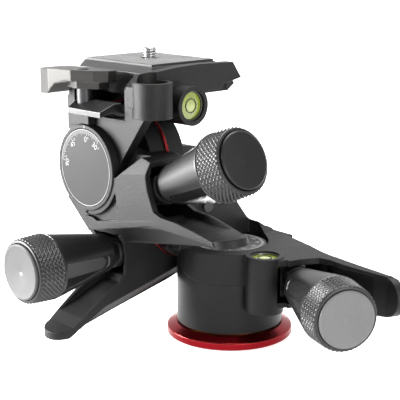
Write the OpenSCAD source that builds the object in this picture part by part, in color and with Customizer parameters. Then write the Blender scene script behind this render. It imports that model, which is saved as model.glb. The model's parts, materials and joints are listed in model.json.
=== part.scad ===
// Three-way geared tripod head: a pan unit, a middle housing with two more worm
// units, and a camera platform with a quick-release plate. Millimetres, +Z up,
// origin at the centre of the bottom face, on the pan axis.

/* [Base] */
// Radius of the red base ring
base_r = 30; // [27:0.5:34]
// Height of the base ring's straight side
base_side_h = 3.6; // [2.5:0.1:4.4]
// Top of the base plate
base_h = 5.4; // [5:0.1:6]
// Radius of the pan body
pan_r = 25.2; // [24.8:0.1:26]
// Radius of the 3/8 inch mounting thread
mount_r = 4.7625; // [4:0.0125:5.2]

/* [Worm unit] */
// Number of teeth on each worm wheel
teeth = 36; // [36:1:36]
// Gear module
gear_module = 0.8; // [0.76:0.01:0.8]
// Distance from wheel axis to worm axis
worm_off = 19.2; // [19.1:0.05:19.4]
// Face width of a worm wheel
wheel_w = 8; // [6:0.5:8.6]
// Lead angle of the worm
lead_angle = 4.6; // [4:0.1:5.2]
// Axle radius
axle_r = 6; // [5:0.25:6.5]
// Radius of the worm's shaft
shaft_r = 3; // [2.6:0.1:3.2]
// Distance from worm mid-plane to dial face
dial_out = 12.1; // [11.9:0.1:13]
// Radius of a dial
dial_r = 17.9; // [15:0.1:18]
// Wheel axis to knob face, along the knob
knob_reach = 89.55; // [88:0.25:94]
// Wheel axis to knob root, along the knob
knob_root_x = 42; // [41.6:0.2:44]
// Radius of the knob at its root
knob_root_r = 8.9; // [8:0.1:9.4]
// Radius of the knob at its widest
knob_rim_r = 15.1; // [14:0.1:16.4]
// Radius of the knob at its face
knob_face_r = 14; // [12:0.1:14.5]
// Length of the knurled band
knurl_l = 11.5; // [9:0.5:14]
// Half width of the squeeze arm at its root
arm_half_root = 11.4; // [11:0.1:11.8]
// Half width of the squeeze arm at its tip
arm_half_tip = 9; // [8.8:0.1:9.6]

/* [Layout] */
// Height of the pan worm
pan_z = 32.4; // [32.2:0.1:33]
// Direction of the pan knob, in degrees
pan_turn = -25.6; // [-30:0.2:-22]
// Lateral axis, Y
side_y = -10.5; // [-10.8:0.1:-10.4]
// Lateral axis, Z
side_z = 62.3; // [62.2:0.1:62.8]
// Lateral worm plane, X
side_x = -29; // [-29.4:0.1:-29]
// Front axis, X
front_x = -39.4; // [-39.8:0.1:-39.4]
// Front axis, Z
front_z = 81.5; // [81.3:0.1:82]
// Front worm plane, Y
front_y = -42.9; // [-43.2:0.1:-42.9]
// Upward slope of the front knob, in degrees
front_slope = 21.55; // [21:0.05:22]
// Radius of the red ring of the lateral axis
side_ring_r = 27; // [25:0.25:27.5]
// Radius of the red ring of the front axis
front_ring_r = 29.2; // [28.8:0.1:29.4]

/* [Platform] */
// Height of the camera pad's top
pad_z = 128.9; // [128.6:0.1:130]
// Camera pad size along X
pad_l = 47; // [44:0.5:48]
// Camera pad size along Y
pad_w = 38.4; // [36:0.4:39]
// Border of the plate round the pad
plate_border = 2.6; // [1.5:0.1:3]
// Thickness of the rubber pad
pad_t = 1; // [0.8:0.1:1.4]
// Thickness of the front cheek
cheek_t = 5; // [4.5:0.1:5]
// Outer radius of a bubble level boss
bubble_r = 8.9; // [8:0.1:9]
// Radius of the 1/4 inch camera screw
screw_r = 3.175; // [3:0.025:3.2]

/* [Fits] */
// Radial clearance of a shaft in its bore
run_clear = 0.04; // [0.02:0.01:0.08]
// Gap between pieces that slide past one another
gap = 0.4; // [0.35:0.05:0.5]

/* [Hidden] */
$fn = 64;
eps = 0.01;

body_grey = "#3a3a3c";
metal_grey = "#9a958e";
knob_grey = "#8d8d8e";
red = "#9c1420";
lime = "#c8d860";
steel = "#c0c0c4";
brass = "#b8964c";

// Gear train, all from the module and the worm offset
wheel_pitch_r = teeth * gear_module / 2;
wheel_r = wheel_pitch_r + gear_module;
worm_pitch_r = worm_off - wheel_pitch_r;
worm_r = worm_pitch_r + gear_module;
pitch = PI * gear_module;
backlash = 0.96;
chamber_r = wheel_r + gap;

// Worm and its carrier, along the knob
worm_half = 7.2;
pocket_half = worm_half + gap;
pin_x = -14.5;
pin_r = 2;
spring_r = 3;
wire_r = 0.45;
slot_r = spring_r + wire_r + gap;
slot_half = 3.3;
carrier_half = 8.2;
end_half = 5.2;
cavity_half = carrier_half + gap;
carrier_x = 31;
carrier_top = worm_off - 5.7;
carrier_low = worm_off + 6.4;
tail_r = shaft_r - 0.5;
tail_x = 10.2;
collar_x = 36;
collar_t = 3.6;
collar_r = 8;
grip_end = knob_reach - 1.3;
collar_flat = 5.4;
hub_z = wheel_w / 2 + gap;
cover_z = cavity_half + 0.5;
cover_hub_r = 12.6;
dial_over = 0.7;
dial_rim = 0.9;
dial_step = 2.1;
dial_seat_z = dial_out - 1.3;
front_cover_r = dial_r - dial_over;
side_cover_r = 15.3;
rim_x = grip_end - 1.2 - knurl_l;

// Casing outline in the unit's own plane: X along the knob, Y past the worm
boss_r = 19.8;
ledge = [[-19, 23.8], [-12, 27.4], [34.8, 34.7], [49.8, 41.5], [66.2, 49.6]];
belly = [[-15, 27], [-10.9, 32.6], [9.5, 38.2], [42.8, 45.2], [59, 48.9], [69, 51.6]];
rim = [[67.7, 48], [62.2, 44.1], [50.7, 36.6], [42.1, 32.4], [38.4, 29], [38, 20], [39, 14], [42.5, 8]];
arm_end_x = 75.5;
face_edge = [[-40, 20], [-18, 9.3], [-12.6, 7], [0, 7], [19.6, 9.2], [46, 1.8], [90, -12], [90, 90], [-60, 90]];
face_panel = [[-8, 19.4], [-1.2, 24.9], [11.8, 27.9], [35, 32.2], [52.9, 39.2], [62, 43.6], [50, 30], [44, 0], [20, -6], [14, 10]];
pocket = [[-8, 21], [16, 16], [15.8, 18.6], [12.2, 27], [-1.4, 25], [-4, 22.6]];
lobe_at = [-15.5, 17.8];
lobe_r = 9.8;
belly_tilt = 12.8;
belly_half = 6;

// Pan body
pan_top = pan_z + dial_out;
pan_low = base_h + 1;
flat_x = -17.3;
arm_flat_x = -19.3;
pan_dial_r = -flat_x;
pan_seat_r = pan_dial_r + 1;
bush_r = axle_r + 1.4;
arm_flat_z = 17;
boss_at = [28.75, -6.5];
boss_low = 18.3;
neck_x = [-10.1, -4.8];
neck_r = 18.5;
neck_front = -28;

// Middle housing
side_back = -9.9;
front_back = front_y + 13.3;
ring_t = 1.2;
cheek_back = front_back + ring_t + gap;
rear_plate_t = 1;
side_front = cheek_back + rear_plate_t + gap;

// Platform
wall_y = front_y - dial_out + 4.4;
pad_at = [-40, -14.65];
plate_l = pad_l + 2 * plate_border;
plate_w = pad_w + 2 * plate_border;
plate_top = pad_z - pad_t;
plate_low = plate_top - 8.2;
tray_z = plate_low - 0.05;
pivot = [-44.8, -50];
lever_z = [117.8, 126];
tray_front = -36.9;
shelf_z = 105.6;
window_x = [-51.7, -15.6];
catch_at = [-45, 108.4];
top_boss_at = [-4.5, -44];
top_boss_z = [107.5, 123.2];
side_boss_at = [-25.3, 111.4];
side_boss_x = [-9, 1.8];

// ---------------------------------------------------------------- placement

module pan_unit() {
    translate([0, 0, pan_z]) rotate([0, 0, pan_turn]) children();
}

module side_unit() {
    translate([side_x, side_y, side_z]) rotate([-90, 0, -90]) mirror([0, 0, 1]) children();
}

module front_unit() {
    translate([front_x, front_y, front_z]) rotate([-90, -front_slope, 0]) mirror([0, 0, 1]) children();
}

// A cylinder along the knob's axis, from x0 to x1
module along(x0, x1, r, y = worm_off) {
    translate([x0, y, 0]) rotate([0, 90, 0]) cylinder(h = x1 - x0, r = r);
}

// A block between two corners
module block(a, b) {
    translate(a) cube(b - a);
}

// ---------------------------------------------------------------- casing of a worm unit

module side_outline() {
    polygon(concat(ledge, [[70, 52.2], [arm_end_x + 2, 53.4], [arm_end_x + 2, 50]], rim,
                   [[37.5, 4.8], [28.2, 1.8], [20, -2.6], [14, -8], [0, -8], [-16, 6], [-24.6, 14]]));
}

module belly_outline() {
    polygon(concat(belly, [[66.2, 48], [49.8, 40], [34.8, 33], [-12, 25.8]]));
}

// Seen from past the worm: the arm narrows and ends in an arc
module plan_outline(front) {
    end_dip = arm_end_x - 68;
    intersection() {
        polygon([[-30, -front], [10, -front], [30, -arm_half_root], [80, -arm_half_tip + 0.6],
                 [80, arm_half_tip - 0.6], [40, arm_half_root], [20, front], [-30, front]]);
        union() {
            translate([-30, -20]) square([80, 40]);
            translate([arm_end_x - (end_dip * end_dip + 81) / (2 * end_dip), 0])
                circle(r = (end_dip * end_dip + 81) / (2 * end_dip), $fn = 96);
            translate([30, -20]) square([38, 40]);
        }
    }
}

module plan_prism(front) {
    translate([0, 70, 0]) rotate([90, 0, 0]) linear_extrude(100) plan_outline(front);
}

// Dark bevelled underside, narrower towards its bottom
module belly_solid(half) {
    wide = half;
    intersection() {
        linear_extrude(40, center = true) belly_outline();
        rotate([0, 0, belly_tilt]) rotate([90, 0, 90]) translate([0, 0, -40])
            linear_extrude(140) polygon([[10, -wide], [27, -wide], [34.2, -belly_half], [36, -belly_half],
                                         [36, belly_half], [34.2, belly_half], [27, wide], [10, wide]]);
        plan_prism(half);
    }
}

// Casing blank: squeeze arm, belly, lobe and the round wheel case, from z = back to the dial
module casing(back, arm_back, lobe_front = dial_out) {
    intersection() {
        union() {
            linear_extrude(60, center = true) side_outline();
            belly_solid(arm_half_root);
        }
        plan_prism(dial_out);
        translate([-60, -60, arm_back]) cube([200, 200, dial_out - arm_back]);
    }
    translate([lobe_at.x, lobe_at.y, arm_back]) cylinder(h = lobe_front - arm_back, r = lobe_r);
    translate([0, 0, back]) cylinder(h = dial_out - back, r = boss_r);
}

// Room inside: wheel chamber, worm carrier, and the scoop that takes the squeezed knob
module casing_room(wheel_front = wheel_w / 2 + gap) {
    translate([0, 0, -wheel_w / 2 - gap]) cylinder(h = wheel_w / 2 + gap + wheel_front, r = chamber_r);
    translate([0, 0, -cavity_half]) linear_extrude(2 * cavity_half)
        polygon([[-9.8, worm_off - 8], [-9.8, 25.8], [33, 32.2], [36, 34.6], [39, 35.2], [46, 37.8],
                 [53, 41], [62.6, 44.6], [62.6, 30], [45, 20], [44, 10.2], [33, 9.4], [31, worm_off - 8]]);
    translate([0, 0, -end_half - gap]) linear_extrude(2 * (end_half + gap))
        polygon([[-18.2, worm_off - 8], [-18.2, 21.8], [-9.8, 26], [-9, worm_off - 8]]);
}

// Round hole for a unit's cover, with its seat for the dial
module cover_hole(r) {
    translate([0, 0, hub_z - eps]) cylinder(h = cover_z - hub_z + 1, r = cover_hub_r + run_clear);
    translate([0, 0, cover_z]) cylinder(h = 12, r = r);
    translate([0, 0, dial_seat_z]) cylinder(h = 12, r = r + dial_over + 0.3);
}

// Cover that closes the wheel chamber and holds the dial, with a floor under the dial's step
module unit_cover(r, floor_gap) {
    difference() {
        union() {
            translate([0, 0, hub_z]) cylinder(h = cover_z - hub_z + eps, r = cover_hub_r);
            translate([0, 0, cover_z]) cylinder(h = dial_seat_z - cover_z, r = r);
        }
        translate([0, 0, dial_out - dial_step - floor_gap]) cylinder(h = 4, r = r - dial_rim + gap);
        cylinder(h = 30, r = axle_r + run_clear);
    }
}

// Dial disc with a step under it
module dial(r) {
    translate([0, 0, dial_out - 0.9]) cylinder(h = 0.9, r = r + dial_over);
    translate([0, 0, dial_out - dial_step]) cylinder(h = dial_step - 0.9 + eps, r = r - dial_rim);
}

module hinge_pin(clear = 0) {
    translate([pin_x, worm_off, -end_half - 2]) cylinder(h = 2 * end_half + 3.4, r = pin_r + clear, $fn = 32);
}

// ---------------------------------------------------------------- worm wheel and worm

// Wheel with straight tooth gaps along the lead angle
module worm_wheel() {
    root = wheel_pitch_r - gear_module * 1.25;
    tip = wheel_r + 1;
    w_root = pitch * 0.26 + backlash / 2;
    w_tip = pitch * 0.66 + backlash / 2;
    difference() {
        translate([0, 0, -wheel_w / 2]) cylinder(h = wheel_w, r = wheel_r, $fn = 96);
        translate([0, 0, -wheel_w]) cylinder(h = 2 * wheel_w, r = axle_r);
        for (i = [0:teeth - 1])
            rotate([0, 0, 90 + i * 360 / teeth])
                translate([root, 0, 0]) rotate([-lead_angle, 0, 0])
                    linear_extrude(wheel_w + 3, center = true)
                        polygon([[0, -w_root / 2], [tip - root, -w_tip / 2], [tip - root, w_tip / 2], [0, w_root / 2]]);
    }
}

// Points of the thread's cross-section at one angle: root, crest, crest, root
function thread_ring(a) =
    let (r0 = worm_pitch_r - gear_module * 1.3, r1 = worm_r, x = pitch * a / 360)
    [for (p = [[-pitch * 0.33, r0], [-pitch * 0.1, r1], [pitch * 0.1, r1], [pitch * 0.33, r0]])
        [x + p.x, p.y * cos(a), p.y * sin(a)]];

// A tube of four-sided rings
module ribbon(rings) {
    n = len(rings);
    k = len(rings[0]);
    points = [for (r = rings) each r];
    sides = [for (i = [0:n - 2]) for (j = [0:k - 1])
        each [[i * k + j, i * k + (j + 1) % k, (i + 1) * k + j],
              [i * k + (j + 1) % k, (i + 1) * k + (j + 1) % k, (i + 1) * k + j]]];
    start = [for (j = [k - 1:-1:0]) j];
    end = [for (j = [0:k - 1]) (n - 1) * k + j];
    polyhedron(points = points, faces = concat(sides, [start, end]), convexity = 10);
}

// Worm with a crest facing the wheel at its middle, on a shaft that runs into the knob
module worm_shaft() {
    steps = 16;
    turns = floor((worm_half - pitch * 0.4) / pitch * steps);
    translate([0, worm_off, 0]) {
        rotate([180, 0, 0])
            ribbon([for (i = [-turns:turns]) thread_ring(i * 360 / steps)]);
    }
    along(-worm_half, worm_half, worm_pitch_r - gear_module * 1.2);
    along(-tail_x, -worm_half + eps, tail_r);
    along(worm_half - eps, knob_root_x + 16, shaft_r);
}

// Sliding block that carries the worm and turns about the hinge pin
module worm_carrier() {
    difference() {
        translate([0, 0, -carrier_half]) linear_extrude(2 * carrier_half)
            polygon([[-17.4, carrier_top], [carrier_x, carrier_top], [carrier_x, carrier_low],
                     [-10, 24.8], [-17.4, 21]]);
        // Low end round the hinge pin
        for (s = [-1, 1])
            translate([0, 0, s * (end_half + 10)]) block([-40, 0, -10], [-8.8, 40, 10]);
        block([-pocket_half, 0, -worm_r - gap], [pocket_half, 24.9, worm_r + gap]);
        block([-pocket_half, 0, -wheel_w / 2 - gap], [pocket_half, worm_off, wheel_w / 2 + gap]);
        hinge_pin(run_clear);
        translate([pin_x, worm_off, -slot_half]) cylinder(h = 2 * slot_half, r = slot_r, $fn = 32);
        along(-tail_x - 0.2, 0, tail_r + run_clear);
        along(0, 50, shaft_r + run_clear);
    }
}

// Sleeve and flange between the carrier and the knob
module collar() {
    difference() {
        union() {
            along(carrier_x, collar_x + eps, shaft_r + 2.2);
            intersection() {
                along(collar_x, collar_x + collar_t, collar_r);
                block([collar_x - 1, worm_off - collar_flat, -collar_r], [collar_x + 5, worm_off + collar_r, collar_r]);
            }
        }
        along(0, 50, shaft_r + run_clear);
    }
}

// Return spring: a coil round the hinge pin with one leg on the carrier's floor
module return_spring() {
    turns = 4;
    steps = 14;
    rise = 2 * (slot_half - wire_r - 0.15) / turns;
    translate([pin_x, worm_off, -slot_half + wire_r + 0.15])
        ribbon([for (i = [0:turns * steps])
            let (a = i * 360 / steps, z = rise * i / steps)
            [for (b = [0:60:300]) [(spring_r + wire_r * cos(b)) * cos(a), (spring_r + wire_r * cos(b)) * sin(a),
                                   z + wire_r * sin(b)]]]);
}

// Knob: flared grip with scooped flats and a recess for the cap
module knob_grip() {
    flute_at = 9.4;
    difference() {
        translate([0, worm_off, 0]) rotate([0, 90, 0]) rotate_extrude()
            polygon([[0, knob_root_x], [knob_root_r - 1.2, knob_root_x], [knob_root_r, knob_root_x + 1.4],
                     [knob_rim_r, rim_x], [knob_face_r + 0.6, rim_x + knurl_l], [knob_face_r, grip_end],
                     [0, grip_end]]);
        along(knob_root_x - 1, knob_root_x + 16, shaft_r + run_clear);
        translate([0, worm_off, 0]) rotate([0, 90, 0]) translate([0, 0, grip_end - 2])
            cylinder(h = 4, r = knob_face_r - 1.3);
        for (a = [40, 160, 280])
            translate([0, worm_off, 0]) rotate([a, 0, 0])
                block([knob_root_x + 5, flute_at, -6.4], [rim_x - 1.2, flute_at + 12, 6.4]);
    }
}

// Dished cap in the knob's end
module knob_cap() {
    translate([0, worm_off, 0]) rotate([0, 90, 0]) rotate_extrude()
        polygon([[0, grip_end - 2], [knob_face_r - 1.6, grip_end - 2], [knob_face_r - 1.6, knob_reach - 0.4],
                 [knob_face_r - 2.2, knob_reach], [knob_face_r - 4, knob_reach - 0.2], [0, knob_reach - 0.9]]);
}

// ---------------------------------------------------------------- base

module base_ring() {
    color(red) rotate_extrude($fn = 128)
        polygon([[22, 0], [base_r - 0.4, 0], [base_r, 0.4], [base_r, base_side_h - 0.4], [base_r - 0.4, base_side_h],
                 [pan_r + 0.5, base_h], [22, base_h]]);
}

module base_plate() {
    color(steel) difference() {
        translate([0, 0, 0.3]) cylinder(h = base_h - 0.3, r = 22);
        translate([0, 0, -1]) cylinder(h = 20, r = mount_r + 2.8);
    }
}

module mount_bush() {
    color(brass) difference() {
        cylinder(h = base_h + 4.8, r = mount_r + 2.8);
        translate([0, 0, -1]) cylinder(h = 20, r = mount_r);
    }
}

module thrust_washer() {
    color(brass) difference() {
        translate([0, 0, base_h]) cylinder(h = pan_low - base_h - 0.3, r = 21.5);
        translate([0, 0, base_h - 1]) cylinder(h = 5, r = 14);
    }
}

module pan_axle() {
    color(steel) difference() {
        union() {
            translate([0, 0, base_h]) cylinder(h = 8, r = 12);
            translate([0, 0, base_h + 5]) cylinder(h = pan_top - 2.1 - base_h - 5, r = axle_r);
        }
        translate([0, 0, -1]) cylinder(h = base_h + 5.8, r = mount_r + 2.8);
    }
}

module pan_worm_wheel() {
    color(brass) pan_unit() worm_wheel();
}

module pan_dial() {
    color(metal_grey) difference() {
        translate([0, 0, pan_top - 2.1]) cylinder(h = 1.2, r = pan_dial_r);
        translate([0, 0, pan_top - 3]) cylinder(h = 1, r = 1);
    }
}

// ---------------------------------------------------------------- pan body

module pan_blank() {
    difference() {
        translate([0, 0, pan_low]) cylinder(h = pan_top - pan_low, r = pan_r, $fn = 128);
        // Flat sides that let the middle housing swing past
        block([-40, -40, arm_flat_z], [arm_flat_x, 40, 60]);
        block([-40, -40, 30], [flat_x, 40, 60]);
    }
}

module pan_arm() {
    intersection() {
        pan_unit() difference() {
            casing(-arm_half_root, -arm_half_root);
            translate([0, 0, -30]) cylinder(h = 60, r = 14);
            translate([0, 0, -30]) linear_extrude(60)
                polygon([[-40, 7.4], [36.6, 7.4], [37.6, 14], [60, 14], [60, -30], [-40, -30]]);
        }
        block([-8, -60, pan_low], [120, 60, pan_top]);
    }
}

// Leaning neck that carries the lateral axle, with a fairing that flows into the arm
module neck() {
    reach = neck_x[1] - neck_x[0];
    difference() {
        union() {
            translate([neck_x[0], side_y, side_z]) rotate([0, 90, 0]) cylinder(h = reach, r = neck_r);
            translate([neck_x[0], 0, 0]) rotate([90, 0, 90]) linear_extrude(reach)
                polygon([[neck_front, pan_top - 0.4], [neck_front, side_z], [side_y, side_z], [side_y + 16, side_z + 9],
                         [6, 64.5], [9.6, 61], [16.5, 52.4], [22.6, 47.6], [30, pan_top], [30, pan_top - 0.4]]);
            // Fairing: the rear edge's line swept along X, under a curve that falls to the dial's level
            intersection() {
                translate([neck_x[0], 0, 0]) rotate([90, 0, 90]) linear_extrude(40)
                    polygon([[4, pan_top - 3], [4, 64], [9.4, 61], [16.3, 52.4], [22.6, 47.2], [29, pan_top], [29, pan_top - 3]]);
                translate([0, 60, 0]) rotate([90, 0, 0]) linear_extrude(100)
                    polygon([[neck_x[0], pan_top - 3], [neck_x[0], 66], [neck_x[1], 63], [-2.6, 56.5], [0, 52], [3, 48.6],
                             [6.5, 46], [10, 44.9], [14, pan_top], [14, pan_top - 3]]);
                difference() {
                    translate([0, 0, 30]) cylinder(h = 60, r = 40);
                    translate([0, 0, 29]) cylinder(h = 80, r = pan_seat_r);
                }
            }
            // Full-width foot below the sweep of the rear plate
            block([flat_x, neck_front + 4, pan_top - 3], [neck_x[0] + eps, 8, 50.4]);
        }
        block([-40, -60, 0], [40, neck_front, 120]);
        block([-40, -40, pan_top], [flat_x, 60, 120]);
        // The dial and its rim stay clear
        translate([0, 0, pan_top - 4]) cylinder(h = 3.8, r = pan_seat_r);
        translate([flat_x - 1, side_y, side_z]) rotate([0, 90, 0]) cylinder(h = neck_x[0] + 2.9 - flat_x + 1, r = axle_r);
        translate([0, side_y, side_z]) rotate([0, -90, 0]) cylinder(h = 20, r = 1.55);
        pan_unit() hinge_pin();
    }
}

// Ear that covers the lateral ring where it stands out past the pan body
module mating_ear() {
    intersection() {
        translate([flat_x, side_y, side_z]) rotate([0, 90, 0]) cylinder(h = 4.5, r = side_ring_r - 0.6, $fn = 128);
        translate([flat_x, side_y, side_z]) rotate([0, 90, 0]) linear_extrude(6)
            polygon([[0, 0], [60, 0], [60, -58], [0, -58]]);
        translate([0, side_y, side_z]) rotate([44, 0, 0]) block([-40, -60, -60], [40, 60, 0]);
    }
}

module pan_bubble_boss() {
    translate([boss_at.x, boss_at.y, boss_low]) cylinder(h = pan_top - boss_low, r = 8.8);
}

// Everything of the pan body that the parting line then divides
module pan_solid() {
    difference() {
        union() {
            pan_blank();
            pan_arm();
            pan_bubble_boss();
        }
        translate([0, 0, pan_top - 2.5]) cylinder(h = 3, r = pan_seat_r);
        cylinder(h = 80, r = axle_r + run_clear);
        translate([0, 0, base_h]) cylinder(h = 8 + gap, r = 12 + gap);
        pan_unit() casing_room();
        pan_unit() hinge_pin();
        translate([boss_at.x, boss_at.y, pan_top - 5.6]) cylinder(h = 8, r = 6.6);
    }
}

// Swooping parting line, seen from the front
module below_parting() {
    rotate([0, 0, -40]) translate([0, 60, 0]) rotate([90, 0, 0]) linear_extrude(120)
        polygon([[-60, 0], [-60, 41.4], [-2, 41.4], [4, 37.6], [8.6, 34], [14.5, 31], [23.7, 29.6], [60, 29], [60, 0]]);
}

module skirt_zone() {
    intersection() {
        below_parting();
        cylinder(h = 60, r = pan_r + 0.2, $fn = 128);
    }
}

module pan_skirt() {
    color(body_grey) intersection() {
        difference() {
            pan_blank();
            translate([0, 0, pan_top - 2.5]) cylinder(h = 3, r = pan_seat_r);
            translate([0, 0, pan_low - 1]) cylinder(h = 60, r = 22.6);
            pan_arm();
            pan_bubble_boss();
            pan_unit() casing_room();
            pan_unit() hinge_pin();
            neck();
            mating_ear();
        }
        below_parting();
    }
}

module pan_housing() {
    color(body_grey) difference() {
        union() {
            difference() {
                pan_solid();
                difference() {
                    skirt_zone();
                    translate([0, 0, -1]) cylinder(h = 60, r = 22.6);
                    pan_arm();
                    pan_bubble_boss();
                }
            }
            neck();
            mating_ear();
        }
        translate([0, 0, pan_top - 2.5]) cylinder(h = 2.3, r = pan_seat_r);
        translate([flat_x - 1, side_y, side_z]) rotate([0, 90, 0]) cylinder(h = neck_x[0] + 2.9 - flat_x + 1, r = axle_r);
        translate([flat_x - 1, side_y, side_z]) rotate([0, 90, 0]) cylinder(h = neck_x[0] - flat_x + 1, r = bush_r);
    }
}

module neck_bush() {
    color(brass) translate([flat_x, side_y, side_z]) rotate([0, 90, 0]) difference() {
        cylinder(h = neck_x[0] - flat_x, r = bush_r);
        translate([0, 0, -1]) cylinder(h = 20, r = axle_r);
    }
}

module pan_vial() {
    color(lime) translate([boss_at.x, boss_at.y, pan_top - 5.6]) cylinder(h = 4.6, r = 6.6);
}

module pan_hinge_pin() {
    color(steel) pan_unit() hinge_pin();
}

module pan_spring() {
    color(steel) pan_unit() return_spring();
}

module lateral_axle() {
    color(steel) translate([side_x - dial_out + 2.1, side_y, side_z]) rotate([0, 90, 0])
        cylinder(h = neck_x[0] + 2.9 - side_x + dial_out - 2.1, r = axle_r);
}

module lateral_worm_wheel() {
    color(brass) side_unit() worm_wheel();
}

module lateral_dial() {
    color(metal_grey) side_unit() dial(side_cover_r);
}

module neck_screw() {
    color(steel) translate([neck_x[0] + 2.9, side_y, side_z]) rotate([0, 90, 0]) {
        cylinder(h = neck_x[1] - neck_x[0] - 2.9 + eps, r = 1.55);
        translate([0, 0, neck_x[1] - neck_x[0] - 2.9]) cylinder(h = 1.3, r = 2.9);
    }
}

module pan_worm_carrier() { color(steel) pan_unit() worm_carrier(); }
module pan_collar() { color("#1c1c1e") pan_unit() collar(); }
module pan_worm() { color(steel) pan_unit() worm_shaft(); }
module pan_knob_grip() { color(knob_grey) pan_unit() knob_grip(); }
module pan_knob_cap() { color(metal_grey) pan_unit() knob_cap(); }

// ---------------------------------------------------------------- middle housing

// Slope that cuts the casing back towards its hinge end
module left_bevel() {
    translate([-13.6, 19.1, dial_out]) rotate([0, 45, 153]) block([-50, -50, 0], [50, 50, 60]);
}

// Sector in which the front cheek swings: the casing's face lies lower there
module cheek_sweep() {
    translate([0, 0, dial_out - 9.5]) linear_extrude(30) difference() {
        translate([-60, -80]) square([160, 140]);
        circle(r = boss_r, $fn = 96);
        polygon(face_edge);
    }
    // Sloping left edge, raised ledge and the pocket beside the dial
    left_bevel();
    translate([0, 0, dial_out - 0.6]) linear_extrude(5) difference() {
        polygon(face_panel);
        circle(r = boss_r, $fn = 96);
    }
    translate([0, 0, dial_out - 2.3]) linear_extrude(5) difference() {
        polygon(pocket);
        circle(r = 22, $fn = 96);
    }
    // The face slopes back above the mouth
    translate([24, 9.6, dial_out]) rotate([0, 0, 14]) rotate([24, 0, 0]) block([-3, -20, 0], [40, 0, 12]);
}

module front_casing() {
    back = -13.3;
    difference() {
        casing(back, -arm_half_root, end_half + 2);
        cheek_sweep();
    }
    translate([0, 0, back]) cylinder(h = 9, r = front_ring_r - 0.8, $fn = 128);
}

module side_casing() {
    difference() {
        casing(side_back, -9.5, end_half + 2);
        left_bevel();
    }
    translate([0, 0, side_back]) cylinder(h = 7, r = side_ring_r - 0.6, $fn = 128);
}

module tilt_blank() {
    front_unit() front_casing();
    difference() {
        side_unit() side_casing();
        // Room for the platform's rear plate
        block([-120, front_back, side_z - 12], [80, side_front, 160]);
        block([-120, -120, side_z - 10], [80, front_back + eps, 160]);
    }
}

module tilt_housing() {
    color(body_grey) difference() {
        tilt_blank();
        for (u = [0, 1]) {
            place(u) casing_room();
            place(u) hinge_pin();
        }
        front_unit() cover_hole(front_cover_r);
        side_unit() cover_hole(side_cover_r);
        side_unit() translate([0, 0, -20]) cylinder(h = 40, r = axle_r + run_clear);
        // The lateral knob and collar stay clear of the front belly
        side_unit() along(30, 48, collar_r + gap + 0.2);
        front_unit() translate([0, 0, -13.4]) cylinder(h = 13.4 - wheel_w / 2 - gap, r = axle_r + run_clear);
        // Rear face in front of the red ring
        block([-120, front_back, side_z - 9], [80, side_front, 160]);
    }
}

module place(u) {
    if (u == 0) front_unit() children();
    if (u == 1) side_unit() children();
}

module front_cover() { color(body_grey) front_unit() unit_cover(front_cover_r, 0); }
module lateral_cover() { color(body_grey) side_unit() unit_cover(side_cover_r, gap); }

module lateral_ring() {
    color(red) difference() {
        translate([flat_x - 0.3 - ring_t, side_y, side_z]) rotate([0, 90, 0]) difference() {
            cylinder(h = ring_t, r = side_ring_r, $fn = 128);
            translate([0, 0, -1]) cylinder(h = 5, r = 20);
        }
        block([-60, -60, side_z - 12], [0, side_front, 130]);
        block([-60, -60, side_z + 4], [0, 60, 130]);
    }
}

module lateral_hinge_pin() { color(steel) side_unit() hinge_pin(); }
module lateral_spring() { color(steel) side_unit() return_spring(); }
module front_hinge_pin() { color(steel) front_unit() hinge_pin(); }
module front_spring() { color(steel) front_unit() return_spring(); }

module front_dial() { color(metal_grey) front_unit() dial(front_cover_r); }

module lateral_worm_carrier() { color(steel) side_unit() worm_carrier(); }
module lateral_collar() { color("#1c1c1e") side_unit() collar(); }
module lateral_worm() { color(steel) side_unit() worm_shaft(); }
module lateral_knob_grip() { color(knob_grey) side_unit() knob_grip(); }
module lateral_knob_cap() { color(metal_grey) side_unit() knob_cap(); }
module front_worm_carrier() { color(steel) front_unit() worm_carrier(); }
module front_collar() { color("#1c1c1e") front_unit() collar(); }
module front_worm() { color(steel) front_unit() worm_shaft(); }
module front_knob_grip() { color(knob_grey) front_unit() knob_grip(); }
module front_knob_cap() { color("#303032") front_unit() knob_cap(); }

// ---------------------------------------------------------------- platform

module wall_prism(y0, y1) {
    translate([0, y1, 0]) rotate([90, 0, 0]) linear_extrude(y1 - y0) children();
}

module cheek_outline() {
    difference() {
        polygon([[-57.2, 97.4], [-57.2, 112.6], [-53, lever_z[0] - 0.8], [window_x[0], lever_z[0] - 0.8],
                 [window_x[0], 110], [window_x[1], 110], [window_x[1], tray_z], [-8, tray_z], [-2.8, 116], [-2.8, 107.1],
                 [-19.2, 85.8]]);
        translate([front_x, front_z]) circle(r = boss_r + gap, $fn = 96);
        polygon([[window_x[0], shelf_z], [window_x[1], shelf_z], [window_x[1], 130], [window_x[0], 130]]);
    }
}

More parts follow.
